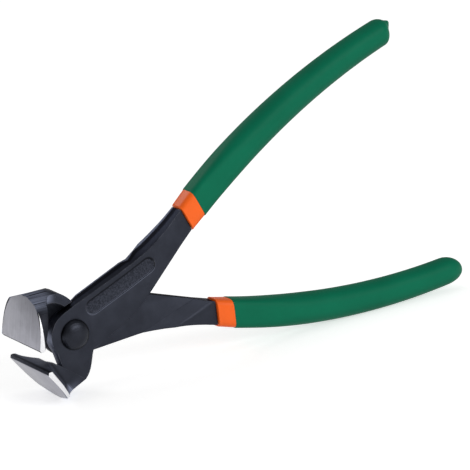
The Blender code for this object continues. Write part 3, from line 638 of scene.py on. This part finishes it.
def steel_material(side, look):
    """Black oxide forging with bare ground faces round the cutting edge, and painted highlights and shade in
    some zones.
    """
    mat, tree, shader = fresh_material("forged_steel_" + side)
    coordinates, place = closed_frame(tree, side)
    mottle = place_group(tree, mottling(), Vector=place, Cloud_Scale=150.0, Grain_Scale=4200.0)
    marks = place_group(tree, grinding_marks(), Vector=place)
    wear = place_group(tree, worn_edges(), Vector=place, Radius=0.0005, Amount=look.wear)
    clouds = mottle.outputs["Clouds"]
    grain = mottle.outputs["Grain"]
    streaks = marks.outputs["Streaks"]
    split = new_node(tree, "ShaderNodeSeparateXYZ", Vector=place)
    facing = new_node(tree, "ShaderNodeSeparateXYZ", Vector=coordinates.outputs["Normal"]).outputs["Y"]
    sideways = math_node(tree, "ABSOLUTE", facing)
    front, facet = blade_masks(tree, place, split, sideways, FACET_LOSS[side])
    ground = greatest(tree, front, facet)
    line, band = trimmed_rim(tree, split, sideways)
    sheltered, deep = sheltered_zones(tree, side, split, sideways)

    def tint(colour, mask, strength, factor):
        share = product(tree, mask, strength)
        return mix_colour(tree, share, colour, shade_of(look.oxide_colour, factor))

    oxide = clouded(tree, look.oxide_colour, ramp_between(tree, clouds, 0.25, 0.78), low=0.86, high=1.16)
    # Painted highlight on the crown behind the bevel, broken into streaks
    crown_highlight = product(tree, zone(tree, split, Z=CROWN_Z, X=CROWN_X), ramp_between(tree, streaks, 0.32, 0.58))
    oxide = tint(oxide, crown_highlight, *CROWN_HIGHLIGHT)
    if side == "front":
        # Painted light inside the front jaw's throat, broken into streaks
        throat_light_streaks = math_node(tree, "MULTIPLY_ADD", streaks, 0.9, 0.25)
        throat = product(tree, jaw_inside(tree, split, sideways, THROAT_X), throat_light_streaks)
        oxide = tint(oxide, throat, *THROAT_PAINTED_LIGHT)
    # Painted highlight along the trimmed rim's inner edge, and painted shade in the band beside it
    oxide = tint(oxide, line, *RIM_LINE_HIGHLIGHT)
    oxide = tint(oxide, band, *RIM_BAND_SHADE)
    if side == "front":
        panel, lit, hidden = panel_masks(tree, place, split, facing)
        cast = noise(tree, place, scale=1700.0, detail=3.0, roughness=0.65)
        lumpy = ramp_between(tree, cast, 0.35, 0.65)
        rough_floor = clouded(tree, look.oxide_colour, lumpy, low=0.55, high=1.55)
        oxide = mix_colour(tree, product(tree, panel, PANEL_STRENGTH), oxide, rough_floor)
        grain = mix_value(tree, panel, grain, product(tree, cast, 4.0))
    oxide = mix_colour(tree, product(tree, deep, DEEP_STRENGTH), oxide, DEEP_SHADE)
    open_to_wear = math_node(tree, "SUBTRACT", 1.0, sheltered)
    worn = mix_colour(tree, product(tree, wear.outputs["Wear"], open_to_wear), oxide, WORN_STEEL)
    # Painted light on the sloped shoulder, which its bent shading normals leave too dark
    worn = mix_colour(tree, shoulder_tilt(tree), worn, SHOULDER_PAINTED_LIGHT, "MULTIPLY")
    if side == "front":
        worn = tint(worn, lit, *LIT_TINT)
        worn = tint(worn, hidden, *HIDDEN_TINT)
    bare = ground_steel(tree, side, look, streaks, clouds, facet)
    plug(tree, mix_colour(tree, ground, worn, bare), shader.inputs["Base Color"])
    shader.inputs["Metallic"].default_value = 0.90
    glance = mix_colour(tree, zone(tree, split, X=GLANCE_X), HANDLE_GLANCE, JAW_GLANCE)
    plug(tree, mix_colour(tree, ground, glance, WHITE), shader.inputs["Specular Tint"])
    steel_surface(tree, shader, look, ground, clouds, grain, band, marks.outputs["Marks"])
    return mat


def rivet_material(look):
    """Darker, faintly clouded oxide on the rivet."""
    mat, tree, shader = fresh_material("rivet_steel_finish")
    place = closed_frame(tree, "front")[1]
    mottle = place_group(tree, mottling(), Vector=place, Cloud_Scale=260.0, Grain_Scale=3000.0)
    clouds = mottle.outputs["Clouds"]
    plug(tree, clouded(tree, look.oxide_colour, clouds, low=0.55, high=0.95), shader.inputs["Base Color"])
    shader.inputs["Metallic"].default_value = 0.92
    plug(tree, varied(tree, clouds, RIVET_ROUGHNESS, spread=0.16), shader.inputs["Roughness"])
    add_bump(tree, shader, clouds, strength=0.25, distance=0.00005)
    return mat


def vinyl_material(name, colour, roughness, shine):
    """Dipped vinyl with faint clouds and a fine skin, with painted shade underneath and a painted highlight
    on faces turned up and back.
    """
    mat, tree, shader = fresh_material(name)
    coordinates = tree.nodes.new("ShaderNodeTexCoord")
    mottle = place_group(tree, mottling(), Vector=coordinates.outputs["Object"], Cloud_Scale=45.0,
                         Grain_Scale=1500.0)
    clouds = mottle.outputs["Clouds"]
    grain = mottle.outputs["Grain"]
    shade = clouded(tree, colour, ramp_between(tree, clouds, 0.25, 0.75), low=0.92, high=1.08)
    facing = new_node(tree, "ShaderNodeSeparateXYZ", Vector=coordinates.outputs["Normal"])
    # Painted shade on faces turned down
    under = product(tree, zone(tree, facing, Z=(0.20, -0.70)), 0.5)
    shade = mix_colour(tree, under, shade, shade_of(colour, 0.35))
    # Painted highlight on faces turned up and back, like a rim light
    painted_rim_light = product(tree, zone(tree, facing, Y=(-0.10, 0.35), Z=(0.30, 0.60)), 0.55)
    shade = mix_colour(tree, painted_rim_light, shade, (*[min(1.0, part * 1.35 + 0.03) for part in colour], 1.0))
    plug(tree, shade, shader.inputs["Base Color"])
    plug(tree, varied(tree, grain, roughness, spread=0.14), shader.inputs["Roughness"])
    shader.inputs["Specular IOR Level"].default_value = shine
    height = math_node(tree, "ADD", product(tree, clouds, 1.5), product(tree, grain, 0.25))
    add_bump(tree, shader, height, strength=0.30, distance=0.0002)
    return mat


# Dipped sleeves

SLEEVE_SIZES = (
    "Start", "End", "Rim", "Tip Length", "Tip Inset", "Tip Shift", "Nub", "First Half Width",
    "First Half Thickness", "First Power", "First Slant", "Last Half Width", "Last Half Thickness",
    "Last Power", "Last Slant", "Swell End", "Tip Half Width", "Bow Radius", "Crest X", "Crest Z")


def sleeve_tree():
    """Geometry nodes for a closed sleeve on the handle's bow, with a round mouth and a domed or flat end."""
    tree = bpy.data.node_groups.new("dipped_sleeve", "GeometryNodeTree")
    for label in SLEEVE_SIZES:
        tree.interface.new_socket(label, in_out="INPUT", socket_type="NodeSocketFloat")
    for label in ("Stations", "Points Around"):
        tree.interface.new_socket(label, in_out="INPUT", socket_type="NodeSocketInt")
    tree.interface.new_socket("Material", in_out="INPUT", socket_type="NodeSocketMaterial")
    tree.interface.new_socket("Geometry", in_out="OUTPUT", socket_type="NodeSocketGeometry")
    given = tree.nodes.new("NodeGroupInput").outputs
    out = tree.nodes.new("NodeGroupOutput")

    def node(operation, *values):
        return math_node(tree, operation, *values)

    def plus(first, second):
        return node("ADD", first, second)

    def minus(first, second):
        return node("SUBTRACT", first, second)

    def times(first, second):
        return node("MULTIPLY", first, second)

    def remainder(value):
        return minus(1.0, value)

    def progress(value, start, run):
        return node("DIVIDE", minus(value, start), run)

    def mix(share, first, second):
        return plus(first, times(minus(second, first), share))

    def clamp(value):
        return node("MINIMUM", node("MAXIMUM", value, 0.0), 1.0)

    def smooth(value):
        held = clamp(value)
        return times(times(held, held), minus(3.0, times(held, 2.0)))

    rim_rows = 5.0
    tip_rows = 14.0
    body_end = plus(given["Stations"], rim_rows)
    last_row = plus(body_end, tip_rows + 1.0)
    grid = new_node(tree, "GeometryNodeMeshGrid", Size_X=1.0, Size_Y=1.0)
    tree.links.new(plus(last_row, 1.0), grid.inputs["Vertices X"])
    tree.links.new(plus(given["Points Around"], 1.0), grid.inputs["Vertices Y"])
    place = tree.nodes.new("GeometryNodeInputPosition")
    split = new_node(tree, "ShaderNodeSeparateXYZ", Vector=place.outputs[0])
    row = node("ROUND", times(plus(split.outputs["X"], 0.5), last_row))
    around = times(plus(split.outputs["Y"], 0.5), 2 * math.pi)

    rim_angle = times(clamp(progress(row, 1.0, rim_rows - 1.0)), math.pi / 2)
    body_share = clamp(progress(row, rim_rows, given["Stations"]))
    tip_angle = times(clamp(progress(row, body_end, tip_rows)), math.pi / 2)
    tip_share = remainder(node("COSINE", tip_angle))

    rim_share = node("DIVIDE", given["Rim"], given["First Half Width"])
    size = remainder(times(rim_share, remainder(node("SINE", rim_angle))))
    size = times(size, remainder(times(given["Tip Inset"], tip_share)))
    past_first = node("GREATER_THAN", row, 0.5)
    before_last = node("LESS_THAN", row, minus(last_row, 0.5))
    size = times(size, times(past_first, before_last))

    tip_start = minus(minus(given["End"], given["Tip Length"]), given["Nub"])
    body_start = plus(given["Start"], given["Rim"])
    x = plus(given["Start"], times(given["Rim"], remainder(node("COSINE", rim_angle))))
    x = plus(x, times(minus(tip_start, body_start), body_share))
    x = plus(x, times(given["Tip Length"], node("SINE", tip_angle)))
    nub_size = 0.50
    past_dome = node("GREATER_THAN", tip_angle, 0.1)
    drop = times(smooth(remainder(node("DIVIDE", size, nub_size))), past_dome)
    x = plus(x, times(given["Nub"], drop))

    swell_run = minus(given["Swell End"], given["Start"])
    swell = smooth(progress(x, given["Start"], swell_run))
    taper_run = minus(given["End"], given["Swell End"])
    taper = clamp(progress(x, given["Swell End"], taper_run))
    girth = mix(taper, given["Last Half Width"], given["Tip Half Width"])
    flatness = node("DIVIDE", given["Last Half Thickness"], given["Last Half Width"])
    half_width = times(mix(swell, given["First Half Width"], girth), size)
    depth = mix(swell, given["First Half Thickness"], times(girth, flatness))
    half_thickness = times(depth, size)
    bend = node("DIVIDE", 2.0, mix(swell, given["First Power"], given["Last Power"]))
    slant = mix(swell, given["First Slant"], given["Last Slant"])

    def section(value, half):
        curved = times(node("SIGN", value), node("POWER", node("ABSOLUTE", value), bend))
        return times(curved, half)

    outward = section(node("COSINE", around), half_width)
    outward = plus(outward, times(given["Tip Shift"], tip_share))
    across = section(node("SINE", around), half_thickness)

    def bow_turn(value):
        return node("ARCSINE", progress(value, given["Crest X"], given["Bow Radius"]))

    lean = times(slant, node("TANGENT", bow_turn(x)))
    turn = bow_turn(minus(x, times(lean, outward)))
    reach = plus(given["Bow Radius"], outward)
    along = plus(given["Crest X"], times(reach, node("SINE", turn)))
    bow_centre = minus(given["Crest Z"], given["Bow Radius"])
    rise = plus(bow_centre, times(reach, node("COSINE", turn)))
    bent = new_node(tree, "ShaderNodeCombineXYZ", X=along, Y=across, Z=rise)

    moved = new_node(tree, "GeometryNodeSetPosition", Geometry=grid.outputs["Mesh"],
                     Position=bent.outputs[0])
    merged = new_node(tree, "GeometryNodeMergeByDistance", Geometry=moved.outputs[0], Distance=WELD_GAP)
    real = new_node(tree, "GeometryNodeRealizeInstances", Geometry=merged.outputs[0])
    painted = new_node(tree, "GeometryNodeSetMaterial", Geometry=real.outputs[0],
                       Material=given["Material"])
    tree.links.new(painted.outputs[0], out.inputs["Geometry"])
    return tree


# Pieces

def put_in_scene(name, mesh):
    """A new object with the mesh, linked to the scene."""
    obj = bpy.data.objects.new(name, mesh)
    bpy.context.scene.collection.objects.link(obj)
    return obj


@contextmanager
def opened(mesh):
    """The mesh opened for editing, and written back at the end."""
    shape = bmesh.new()
    shape.from_mesh(mesh)
    yield shape
    shape.to_mesh(mesh)
    shape.free()


def welded_copy(node, name):
    """The solid's mesh as one welded skin with whole faces, as a new piece."""
    mesh = frame["nodes"][node].data.copy()
    mesh.name = name
    with opened(mesh) as shape:
        bmesh.ops.remove_doubles(shape, verts=shape.verts, dist=WELD_GAP)
        bmesh.ops.dissolve_limit(shape, angle_limit=math.radians(FLAT_ANGLE), verts=shape.verts,
                                 edges=shape.edges)
    return put_in_scene(name, mesh)


def bake_modifiers(obj):
    """Make the finished shape the piece's own mesh."""
    bpy.context.view_layer.update()
    evaluated = obj.evaluated_get(bpy.context.evaluated_depsgraph_get())
    mesh = bpy.data.meshes.new_from_object(evaluated)
    obj.modifiers.clear()
    obj.data = mesh


def ramp_faces(shape, side):
    """The sloped shoulder's faces, told by their tilt in the lever's closed frame."""
    to_closed = lever_matrix(side).inverted()
    turn = to_closed.to_3x3()
    found = set()
    for face in shape.faces:
        normal = turn @ face.normal
        middle = to_closed @ face.calc_center_median()
        tilted = SHOULDER_TILT[0] < normal.y < SHOULDER_TILT[1] and normal.z < SHOULDER_FALL
        if tilted and SHOULDER_REACH[0] < middle.x < SHOULDER_REACH[1]:
            found.add(face)
    return found


def mark_hard_edges(mesh, side):
    """Mark the edges to round, and leave the sloped shoulder to flow into its neighbours."""
    with opened(mesh) as shape:
        soft = ramp_faces(shape, side)
        if not soft:
            raise RuntimeError("the sloped shoulder of the " + side + " lever wasn't found")
        layer = shape.edges.layers.float.new("bevel_weight_edge")
        for edge in shape.edges:
            beside = any(face in soft for face in edge.link_faces)
            bent = len(edge.link_faces) == 2 and edge.calc_face_angle(0.0) > math.radians(HARD_EDGE_ANGLE)
            edge[layer] = 1.0 if bent and not beside else 0.0


def back_rise(x):
    """How far the back edge of the front lever's top is raised, x behind the rivet."""
    near = min(1.0, max(0.0, (x - RISE_START) / RISE_START_RUN))
    over_joint = min(1.0, max(0.0, (JOINT_END - x) / JOINT_END_RUN))
    past_joint = RISE_PAST_JOINT * min(1.0, max(0.0, (RISE_END - x) / RISE_END_RUN))
    return BACK_EDGE_RISE * near * max(over_joint, past_joint)


def raise_back_edge(mesh, side):
    """Lean the lever's top outwards towards the back, over the joint and a little beyond."""
    to_world = lever_matrix(side)
    to_closed = to_world.inverted()
    turn = to_closed.to_3x3()
    moved = {}
    with opened(mesh) as shape:
        for face in shape.faces:
            normal = turn @ face.normal
            if normal.z < TOP_TILT or abs(normal.y) > TOP_TILT:
                continue
            for vertex in face.verts:
                place = to_closed @ vertex.co
                if place.z > RISE_ABOVE_Z and place.y > RISE_BEHIND_Y:
                    moved[vertex] = place + Vector((0.0, 0.0, back_rise(place.x)))
        for vertex, place in moved.items():
            vertex.co = to_world @ place


def calm_ramp(mesh, side):
    """Shade the sloped shoulder almost like the flat faces that it joins."""
    turn = lever_matrix(side).to_3x3()
    flat = turn @ Vector((0.0, 1.0, 0.0))
    shape = bmesh.new()
    shape.from_mesh(mesh)
    ramps = {face.index for face in ramp_faces(shape, side)}
    shape.free()
    normals = [Vector(corner.vector) for corner in mesh.corner_normals]
    for polygon in mesh.polygons:
        if polygon.index in ramps:
            for corner in polygon.loop_indices:
                normals[corner] = flat.lerp(polygon.normal, SHOULDER_OWN_SHADE).normalized()
    mesh.normals_split_custom_set(normals)


def build_lever(side, node, name):
    """A lever with its edges rounded a little, in its steel finish."""
    look = bpy.context.scene.nipper_steel
    piece = welded_copy(node, name)
    if side == "front":
        raise_back_edge(piece.data, side)
    mark_hard_edges(piece.data, side)
    soften = piece.modifiers.new("soft_edges", "BEVEL")
    soften.width = look.edge_round
    soften.segments = 2
    soften.limit_method = "WEIGHT"
    soften.miter_outer = "MITER_ARC"
    soften.use_clamp_overlap = True
    bake_modifiers(piece)
    piece.data.materials.clear()
    piece.data.materials.append(steel_material(side, look))
    piece.data.shade_smooth()
    piece.data.set_sharp_from_angle(angle=math.radians(LEVER_SHARP_ANGLE))
    calm_ramp(piece.data, side)
    return piece


def sleeve_sizes(look):
    """Sizes of the upper grip, the lower grip and a cuff, for the sleeve's nodes."""
    lower = {
        "Start": CUFF_END, "End": HANDLE_REACH - LOWER_TIP_SETBACK, "Rim": GRIP_RIM,
        "Tip Length": GRIP_TIP_LENGTH, "Tip Inset": 1.0, "Tip Shift": GRIP_TIP_SHIFT, "Nub": 0.0,
        "First Half Width": COLLAR_HALF_WIDTH, "First Half Thickness": COLLAR_HALF_THICKNESS,
        "First Power": MOUTH_POWER, "First Slant": 1.0, "Last Half Width": look.grip_half_width,
        "Last Half Thickness": look.grip_half_width * look.flatness, "Last Power": GRIP_POWER,
        "Last Slant": 0.0, "Swell End": SWELL_END, "Tip Half Width": look.tip_half_width,
        "Stations": look.stations}
    upper = dict(lower)
    upper.update({"Nub": look.nub, "Tip Length": UPPER_TIP_LENGTH, "Tip Shift": UPPER_TIP_SHIFT,
                  "End": HANDLE_REACH + UPPER_TIP_EXTRA})
    cuff = dict(lower)
    cuff.update({
        "Start": CUFF_START, "End": CUFF_END + CUFF_OVERLAP, "Rim": CUFF_RIM, "Tip Length": CUFF_TIP_LENGTH,
        "Tip Inset": CUFF_TIP_INSET, "Tip Shift": 0.0, "First Half Width": MOUTH_HALF_WIDTH,
        "First Half Thickness": MOUTH_HALF_THICKNESS, "Last Half Width": CUFF_HALF_WIDTH,
        "Last Half Thickness": CUFF_HALF_THICKNESS, "Last Power": MOUTH_POWER, "Last Slant": 1.0,
        "Swell End": CUFF_SWELL_END, "Tip Half Width": CUFF_HALF_WIDTH, "Stations": CUFF_STATIONS})
    return upper, lower, cuff


def build_sleeve(name, tree, sizes, mat, look, side):
    """One grip or cuff from the sleeve's nodes, turned to where its lever stands."""
    piece = put_in_scene(name, bpy.data.meshes.new(name))
    nodes = piece.modifiers.new("dipped_sleeve", "NODES")
    nodes.node_group = tree
    values = dict(sizes)
    values.update({"Bow Radius": BOW_RADIUS, "Crest X": CREST_X, "Crest Z": CREST_Z,
                   "Points Around": look.points_around, "Material": mat})
    for item in tree.interface.items_tree:
        if item.in_out == "INPUT":
            nodes[item.identifier] = values[item.name]
    bake_modifiers(piece)
    mesh = piece.data
    with opened(mesh) as shape:
        bmesh.ops.dissolve_degenerate(shape, edges=shape.edges, dist=WELD_GAP / 2)
        bmesh.ops.recalc_face_normals(shape, faces=shape.faces)
    mesh.transform(lever_matrix(side))
    mesh.shade_smooth()
    mesh.set_sharp_from_angle(angle=math.radians(SLEEVE_SHARP_ANGLE))
    if not mesh.polygons:
        raise RuntimeError("no sleeve was made for " + name)
    return piece


# Operators and the panel that lists them

class NIPPERS_OT_levers(bpy.types.Operator):
    """Both forged levers with soft edges and ground cutting heads"""
    bl_idname = "nippers.levers"
    bl_label = "Forged levers"

    def execute(self, context):
        for side, node in (("front", "front_lever"), ("rear", "rear_lever")):
            piece = build_lever(side, node, side + "_forging")
            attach(piece, side)
            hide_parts(node)
        return {"FINISHED"}


class NIPPERS_OT_rivet(bpy.types.Operator):
    """Domed rivet's finish"""
    bl_idname = "nippers.rivet"
    bl_label = "Rivet"

    def execute(self, context):
        node = frame["nodes"]["pivot_rivet"]
        for slot in node.material_slots:
            slot.material = rivet_material(context.scene.nipper_steel)
        return {"FINISHED"}


class NIPPERS_OT_sleeves(bpy.types.Operator):
    """Dipped grips with a domed end and the cuffs at their mouths"""
    bl_idname = "nippers.sleeves"
    bl_label = "Grips and cuffs"

    def execute(self, context):
        look = context.scene.nipper_grip
        green = vinyl_material("green_dip", look.grip_colour, look.roughness, look.grip_shine)
        orange = vinyl_material("orange_dip", look.cuff_colour, look.roughness - CUFF_EXTRA_GLOSS,
                                look.cuff_shine)
        tree = sleeve_tree()
        upper, lower, cuff = sleeve_sizes(look)
        for name, sizes, mat, side, node, slot in (
                ("upper_grip_dip", upper, green, "front", "upper_grip", "green_vinyl"),
                ("lower_grip_dip", lower, green, "rear", "lower_grip", "green_vinyl"),
                ("upper_cuff_dip", cuff, orange, "front", "upper_cuff", "orange_vinyl"),
                ("lower_cuff_dip", cuff, orange, "rear", "lower_cuff", "orange_vinyl")):
            piece = build_sleeve(name, tree, sizes, mat, look, side)
            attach(piece, side)
            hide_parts(node)
        return {"FINISHED"}


class NIPPERS_OT_studio(bpy.types.Operator):
    """Pale floor, soft lights and the camera"""
    bl_idname = "nippers.studio"
    bl_label = "Studio"

    def execute(self, context):
        scene = context.scene
        look = scene.nipper_studio
        scene.view_settings.view_transform = "Standard"
        scene.view_settings.look = "None"

        mesh = bpy.data.meshes.new("floor")
        far = FLOOR_REACH
        mesh.from_pydata([(-far, -far, 0), (far, -far, 0), (far, far, 0), (-far, far, 0)], [],
                         [(0, 1, 2, 3)])
        floor = put_in_scene("floor", mesh)
        mat, _, shader = fresh_material("floor_paint")
        shader.inputs["Base Color"].default_value = (*look.floor_colour, 1.0)
        shader.inputs["Roughness"].default_value = 0.6
        shader.inputs["Emission Color"].default_value = WHITE
        shader.inputs["Emission Strength"].default_value = look.floor_glow
        mesh.materials.append(mat)

        world = bpy.data.worlds.new("studio_surround")
        world.use_nodes = True
        background = world.node_tree.nodes["Background"]
        background.inputs["Color"].default_value = WHITE
        background.inputs["Strength"].default_value = look.sky_strength
        scene.world = world

        def soft_light(name, place, aim, width, height, power):
            light = bpy.data.lights.new(name, "AREA")
            light.shape = "RECTANGLE"
            light.size = width
            light.size_y = height
            light.energy = power
            lamp = bpy.data.objects.new(name, light)
            scene.collection.objects.link(lamp)
            lamp.location = place
            lamp.rotation_euler = (Vector(aim) - Vector(place)).to_track_quat("-Z", "Y").to_euler()

        soft_light("key_light", place=(0.5, -1.4, 0.7), aim=(0.0, 0.0, 0.04), width=1.1, height=0.7,
                   power=look.key_power)
        soft_light("side_light", place=(-1.4, -0.3, 0.6), aim=(-0.08, 0.0, 0.03), width=0.8, height=0.8,
                   power=look.side_power)
        soft_light("top_light", place=(0.1, 0.2, 1.5), aim=(0.0, 0.0, 0.04), width=1.2, height=0.8,
                   power=look.top_power)
        soft_light("rim_light", place=(-0.45, 1.4, 1.0), aim=(0.0, 0.0, 0.05), width=0.7, height=0.4,
                   power=look.rim_power)

        up = Vector(CAMERA_UP).normalized()
        forward = Vector(CAMERA_FORWARD)
        forward = (forward - up * forward.dot(up)).normalized()
        right = forward.cross(up)
        view = bpy.data.cameras.new("photo_camera")
        view.sensor_width = CAMERA_SENSOR
        view.lens = CAMERA_LENS
        view.clip_start = 0.05
        view.clip_end = 30.0
        camera = bpy.data.objects.new("photo_camera", view)
        scene.collection.objects.link(camera)
        turn = Matrix((right, up, -forward)).transposed().to_4x4()
        camera.matrix_world = Matrix.Translation(CAMERA_PLACE) @ turn
        scene.camera = camera
        return {"FINISHED"}


class NIPPERS_PT_panel(bpy.types.Panel):
    """Lists the pieces of the tool"""
    bl_idname = "NIPPERS_PT_panel"
    bl_label = "End cutting nippers"
    bl_space_type = "VIEW_3D"
    bl_region_type = "UI"
    bl_category = "Nippers"

    def draw(self, context):
        scene = context.scene
        for group in (scene.nipper_steel, scene.nipper_grip, scene.nipper_studio):
            box = self.layout.box()
            for name in group.bl_rna.properties.keys():
                if name not in ("rna_type", "name"):
                    box.prop(group, name)
        for operator in ("nippers.levers", "nippers.rivet", "nippers.sleeves", "nippers.studio"):
            self.layout.operator(operator)


CLASSES = (
    NipperSteel,
    NipperGrip,
    NipperStudio,
    NIPPERS_OT_levers,
    NIPPERS_OT_rivet,
    NIPPERS_OT_sleeves,
    NIPPERS_OT_studio,
    NIPPERS_PT_panel,
)


def register():
    """Make the classes and their settings known to Blender."""
    for cls in CLASSES:
        bpy.utils.register_class(cls)
    bpy.types.Scene.nipper_steel = PointerProperty(type=NipperSteel)
    bpy.types.Scene.nipper_grip = PointerProperty(type=NipperGrip)
    bpy.types.Scene.nipper_studio = PointerProperty(type=NipperStudio)


def unregister():
    """Take the settings and classes away again."""
    del bpy.types.Scene.nipper_studio
    del bpy.types.Scene.nipper_grip
    del bpy.types.Scene.nipper_steel
    for cls in reversed(CLASSES):
        bpy.utils.unregister_class(cls)


def main():
    """Build the pieces and the studio."""
    register()
    bpy.ops.nippers.levers()
    bpy.ops.nippers.rivet()
    bpy.ops.nippers.sleeves()
    bpy.ops.nippers.studio()


if __name__ == "__main__":
    main()
